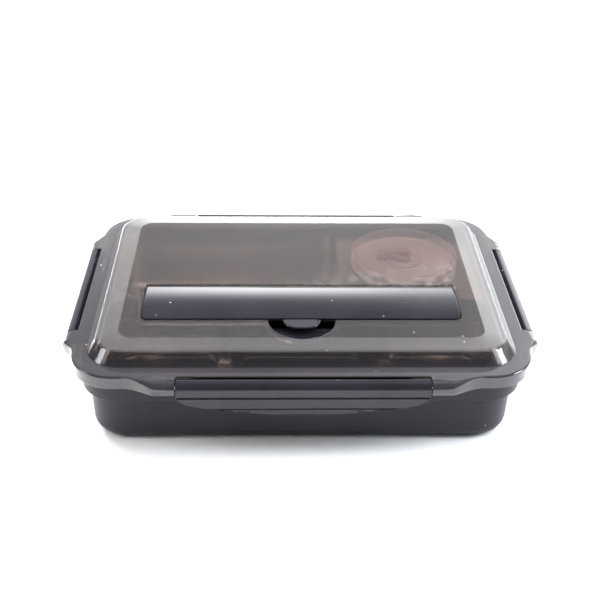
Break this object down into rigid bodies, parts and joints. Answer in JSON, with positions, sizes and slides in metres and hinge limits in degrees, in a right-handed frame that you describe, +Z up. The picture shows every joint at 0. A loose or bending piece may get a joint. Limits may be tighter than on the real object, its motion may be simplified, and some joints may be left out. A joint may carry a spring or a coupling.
{
  "type": "lunch box",
  "caption": "Rectangular bento box: smoked lid with snap latches and a covered cutlery compartment, plastic base, and a steel compartment tray with a lidded soup bowl.",
  "frame": {"origin": "centre of the footprint, on the surface the box stands on", "axes": "+X to the right along the long side, +Y to the back, +Z up; the long latch at -Y is the front"},
  "size_m": [0.2892, 0.2148, 0.066],
  "materials": {
    "base_plastic": "fine satin, dark grey",
    "smoked_plastic": "translucent smoked, polished",
    "gloss_plastic": "polished, near black",
    "steel": "drawn and lightly brushed",
    "pin_steel": "bright drawn wire",
    "seal_silicone": "translucent white silicone",
    "plug_silicone": "soft pinkish silicone",
    "bowl_lid_plastic": "satin, pale pinkish grey",
    "chopstick_plastic": "satin black"
  },
  "bodies": {
    "base": {"base_shell": "base_plastic"},
    "tray": {"inner_tray": "steel"},
    "bowl": {"soup_bowl": "steel"},
    "bowl_lid": {"soup_bowl_lid": "bowl_lid_plastic", "soup_lid_seal": "seal_silicone", "soup_lid_plug": "plug_silicone"},
    "lid": {"lid_shell": "smoked_plastic", "lid_seal": "seal_silicone", "cutlery_tray": "gloss_plastic", "hinge_pin_front": "pin_steel", "hinge_pin_right": "pin_steel", "hinge_pin_back": "pin_steel", "hinge_pin_left": "pin_steel"},
    "cover": {"cutlery_cover": "gloss_plastic"},
    "chopstick_1": {"chopstick_1": "chopstick_plastic"},
    "chopstick_2": {"chopstick_2": "chopstick_plastic"},
    "spoon": {"spoon": "steel"},
    "latch_front": {"latch_front": "gloss_plastic"},
    "latch_right": {"latch_right": "gloss_plastic"},
    "latch_back": {"latch_back": "gloss_plastic"},
    "latch_left": {"latch_left": "gloss_plastic"}
  },
  "joints": [
    {"name": "tray_lift", "type": "slide", "parent": "base", "child": "tray", "axis": [0, 0, 1], "range_m": [0, 0.06]},
    {"name": "bowl_lift", "type": "slide", "parent": "tray", "child": "bowl", "axis": [0, 0, 1], "range_m": [0, 0.06]},
    {"name": "bowl_lid_lift", "type": "slide", "parent": "bowl", "child": "bowl_lid", "axis": [0, 0, 1], "range_m": [0, 0.03]},
    {"name": "lid_lift", "type": "slide", "parent": "bowl_lid", "child": "lid", "axis": [0, 0, 1], "range_m": [0, 0.06]},
    {"name": "latch_front_hinge", "type": "hinge", "parent": "lid", "child": "latch_front", "pos_m": [0, -0.1022, 0.0497], "axis": [-1, 0, 0], "range_deg": [0, 110]},
    {"name": "latch_right_hinge", "type": "hinge", "parent": "lid", "child": "latch_right", "pos_m": [0.1394, 0, 0.0497], "axis": [0, -1, 0], "range_deg": [0, 110]},
    {"name": "latch_back_hinge", "type": "hinge", "parent": "lid", "child": "latch_back", "pos_m": [0, 0.1022, 0.0497], "axis": [1, 0, 0], "range_deg": [0, 110]},
    {"name": "latch_left_hinge", "type": "hinge", "parent": "lid", "child": "latch_left", "pos_m": [-0.1394, 0, 0.0497], "axis": [0, 1, 0], "range_deg": [0, 110]},
    {"name": "cover_hinge", "type": "hinge", "parent": "lid", "child": "cover", "pos_m": [0, -0.0155, 0.0617], "axis": [-1, 0, 0], "range_deg": [0, 95]},
    {"name": "chopstick_1_lift", "type": "slide", "parent": "lid", "child": "chopstick_1", "axis": [0, 0, 1], "range_m": [0, 0.006]},
    {"name": "chopstick_2_lift", "type": "slide", "parent": "lid", "child": "chopstick_2", "axis": [0, 0, 1], "range_m": [0, 0.006]},
    {"name": "spoon_lift", "type": "slide", "parent": "lid", "child": "spoon", "axis": [0, 0, 1], "range_m": [0, 0.004]}
  ]
}
